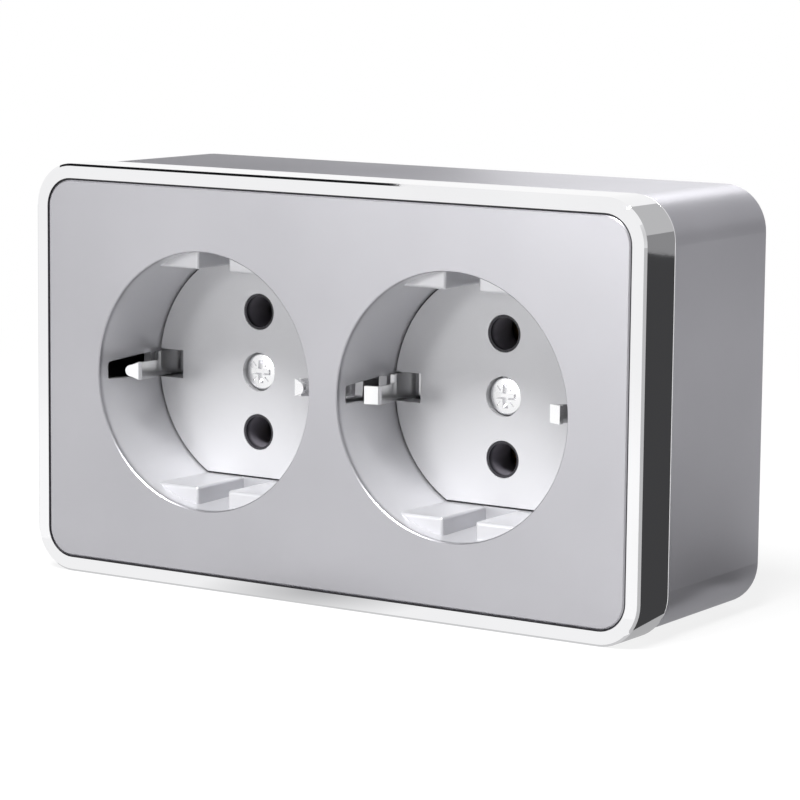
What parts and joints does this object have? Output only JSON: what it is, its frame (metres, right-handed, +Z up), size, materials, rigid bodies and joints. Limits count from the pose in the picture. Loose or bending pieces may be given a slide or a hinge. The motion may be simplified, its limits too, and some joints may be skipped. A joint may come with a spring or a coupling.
{
  "type": "double wall socket",
  "caption": "Surface-mounted earthed wall socket with two round wells side by side in a silver plate, a polished trim frame and a deep box behind.",
  "frame": {"origin": "centre of the flat back that lies on the wall", "axes": "+X right along the two wells, +Y into the wall, +Z up; the front faces -Y"},
  "size_m": [0.1096, 0.037, 0.0644],
  "materials": {
    "silver_shell": "satin silver",
    "silver_plate": "satin silver",
    "chrome_trim": "chromed",
    "black_carrier": "matt moulded",
    "brass_contact": "plain",
    "plated_spring": "bright plated",
    "plated_screw": "zinc plated",
    "steel_cage": "zinc plated"
  },
  "bodies": {
    "root": {"back_box": "silver_shell", "trim_frame": "chrome_trim", "front_plate": "silver_plate", "floor_left": "silver_plate", "floor_right": "silver_plate", "contact_carrier": "black_carrier", "carrier_cover": "black_carrier", "live_strip": "brass_contact", "neutral_strip": "brass_contact", "earth_bar": "plated_spring", "earth_bracket_left": "plated_spring", "earth_bracket_right": "plated_spring", "centre_screw_left": "plated_screw", "centre_screw_right": "plated_screw", "terminal_cage_live": "steel_cage", "terminal_cage_neutral": "steel_cage", "terminal_cage_earth": "steel_cage", "terminal_screw_live": "plated_screw", "terminal_screw_neutral": "plated_screw", "terminal_screw_earth": "plated_screw", "carrier_screw_upper_left": "plated_screw", "carrier_screw_upper_right": "plated_screw", "carrier_screw_lower_left": "plated_screw", "carrier_screw_lower_right": "plated_screw"}
  },
  "joints": []
}
